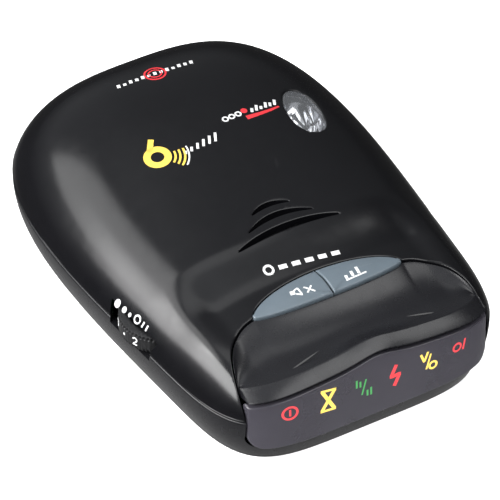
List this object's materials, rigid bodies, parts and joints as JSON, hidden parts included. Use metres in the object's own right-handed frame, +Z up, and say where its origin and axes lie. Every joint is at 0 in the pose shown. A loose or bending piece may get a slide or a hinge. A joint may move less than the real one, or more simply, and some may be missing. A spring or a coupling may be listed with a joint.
{
  "type": "radar detector",
  "caption": "Windscreen radar detector: black two-part case with smoked display window, two grey press buttons, thumb-wheel volume control and a clear top receiver window.",
  "frame": {"origin": "on the flat underside, in the middle of the overall length and width", "axes": "+Z up, display faces -Y, nose points to +Y, +X to the right as the display is read"},
  "size_m": [0.0762, 0.1096, 0.0297],
  "materials": {
    "case_top": "satin moulded black",
    "case_bottom": "fine satin black",
    "front_panel": "smooth semi-gloss black",
    "smoked_window": "polished smoked acrylic",
    "legend_film": "printed black film with clear icons",
    "light_box": "white diffusing plastic",
    "lamps": "tinted clear lamp bodies",
    "button_grey": "satin blue-grey",
    "switch_black": "matt black",
    "plunger_cream": "natural nylon",
    "wheel_black": "matt black, knurled",
    "pot_body": "brown phenolic",
    "clear_window": "clear polished plastic",
    "reflector": "vacuum-metallised",
    "sensor_black": "infra-red filter black",
    "post_grey": "dark grey",
    "nose_window": "dark red infra-red window",
    "circuit_board": "green solder mask",
    "antenna_casting": "as-cast light metal",
    "antenna_plate": "rolled",
    "screw_steel": "zinc plated",
    "shield_tin": "tin plated",
    "speaker_steel": "grey passivated",
    "magnet": "coated ferrite",
    "cone_paper": "black paper cone",
    "cloth_black": "woven dust cloth",
    "lead_red": "pvc insulation",
    "jack_black": "matt black",
    "contact_metal": "nickel plated brass",
    "chip_black": "moulded epoxy",
    "capacitor_sleeve": "shrink sleeve",
    "crystal_can": "nickel plated can",
    "label": "silver polyester, blank"
  },
  "bodies": {
    "housing": {"upper_case": "case_top", "lower_case": "case_bottom", "front_panel": "front_panel", "display_lens": "smoked_window", "legend_film": "legend_film", "light_box": "light_box", "indicator_lamps": "lamps", "switch_bodies": "switch_black", "volume_pot": "pot_body", "laser_lens": "clear_window", "laser_reflector": "reflector", "laser_sensor": "sensor_black", "sensor_post": "post_grey", "nose_window": "nose_window", "main_board": "circuit_board", "horn_antenna": "antenna_casting", "antenna_cover": "antenna_plate", "antenna_screws": "screw_steel", "mixer_shield": "shield_tin", "speaker_frame": "speaker_steel", "speaker_magnet": "magnet", "speaker_cloth": "cloth_black", "speaker_leads": "lead_red", "dc_jack": "jack_black", "jack_contact": "contact_metal", "processor_chip": "chip_black", "regulator": "chip_black", "capacitors": "capacitor_sleeve", "crystal": "crystal_can", "case_screws": "screw_steel", "board_screws": "screw_steel", "rating_label": "label"},
    "left_button": {"left_button": "button_grey"},
    "right_button": {"right_button": "button_grey"},
    "left_plunger": {"left_plunger": "plunger_cream"},
    "right_plunger": {"right_plunger": "plunger_cream"},
    "volume_wheel": {"volume_wheel": "wheel_black"},
    "speaker_cone": {"speaker_cone": "cone_paper"}
  },
  "joints": [
    {"name": "left_button_press", "type": "slide", "parent": "housing", "child": "left_button", "axis": [0, 0, -1], "range_m": [0, 0.0004], "stiffness_N_per_m": 2500},
    {"name": "right_button_press", "type": "slide", "parent": "housing", "child": "right_button", "axis": [0, 0, -1], "range_m": [0, 0.0004], "stiffness_N_per_m": 2500},
    {"name": "left_plunger_press", "type": "slide", "parent": "housing", "child": "left_plunger", "axis": [0, 0, -1], "range_m": [0, 0.0004]},
    {"name": "right_plunger_press", "type": "slide", "parent": "housing", "child": "right_plunger", "axis": [0, 0, -1], "range_m": [0, 0.0004]},
    {"name": "volume_turn", "type": "hinge", "parent": "housing", "child": "volume_wheel", "pos_m": [-0.02883, -0.0157, 0.013], "axis": [0, 0, -1], "range_deg": [0, 270]},
    {"name": "cone_travel", "type": "slide", "parent": "housing", "child": "speaker_cone", "axis": [0, 0, 1], "range_m": [-0.0003, 0.0003], "stiffness_N_per_m": 900}
  ],
  "couplings": [
    {"joint": "left_plunger_press", "follows": "left_button_press", "ratio": 1},
    {"joint": "right_plunger_press", "follows": "right_button_press", "ratio": 1}
  ]
}
